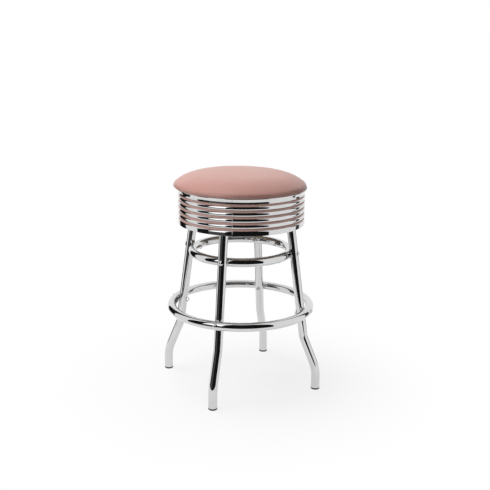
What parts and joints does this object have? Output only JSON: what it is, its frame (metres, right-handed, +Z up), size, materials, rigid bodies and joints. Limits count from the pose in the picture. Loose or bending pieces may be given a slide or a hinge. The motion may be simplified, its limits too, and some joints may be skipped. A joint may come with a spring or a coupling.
{
  "type": "counter stool",
  "caption": "Round padded counter stool with four bent tube legs, an inner ring, a footrest ring and a ball bearing swivel seat in a ribbed band",
  "frame": {"origin": "On the floor, on the swivel axis, midway between the four feet", "axes": "+Z up; the legs stand on the diagonals between X and Y, so -Y is a front side between two legs"},
  "size_m": [0.433, 0.433, 0.637],
  "materials": {
    "chrome": "polished bright plate on the tubes and the band",
    "glide_plastic": "moulded floor glides",
    "zinc": "zinc plated pressings and fasteners",
    "ball_steel": "polished bearing balls",
    "plywood": "sanded birch plywood",
    "foam": "open cell foam",
    "pink_vinyl": "smooth upholstery vinyl with a soft sheen",
    "pink_inlay": "coloured strip laid in the grooves"
  },
  "bodies": {
    "frame": {"leg_back_right": "chrome", "leg_back_left": "chrome", "leg_front_left": "chrome", "leg_front_right": "chrome", "glide_back_right": "glide_plastic", "glide_back_left": "glide_plastic", "glide_front_left": "glide_plastic", "glide_front_right": "glide_plastic", "upper_ring": "chrome", "footrest_ring": "chrome", "upper_ring_bolts": "chrome", "upper_ring_nuts": "chrome", "footrest_bolts": "chrome", "footrest_nuts": "chrome", "swivel_base_plate": "zinc", "leg_plate_bolts": "zinc", "leg_plate_nuts": "zinc", "swivel_pin": "zinc", "swivel_washer": "zinc", "swivel_nut": "zinc"},
    "ball_cage": {"ball_cage": "zinc", "bearing_balls": "ball_steel"},
    "seat": {"swivel_top_plate": "zinc", "board_bolts": "zinc", "board_tee_nuts": "zinc", "seat_board": "plywood", "foam_pad": "foam", "vinyl_cover": "pink_vinyl", "cover_staples": "zinc", "ribbed_band": "chrome", "inlay_strip_1": "pink_inlay", "inlay_strip_2": "pink_inlay", "inlay_strip_3": "pink_inlay", "inlay_strip_4": "pink_inlay", "inlay_strip_5": "pink_inlay", "band_brackets": "zinc", "bracket_screws": "zinc"}
  },
  "joints": [
    {"name": "seat_swivel", "type": "hinge", "parent": "frame", "child": "seat", "pos_m": [0, 0, 0.5559], "axis": [0, 0, 1], "continuous": true},
    {"name": "cage_turn", "type": "hinge", "parent": "frame", "child": "ball_cage", "pos_m": [0, 0, 0.5559], "axis": [0, 0, 1], "continuous": true}
  ],
  "couplings": [
    {"joint": "cage_turn", "follows": "seat_swivel", "ratio": 0.5}
  ]
}
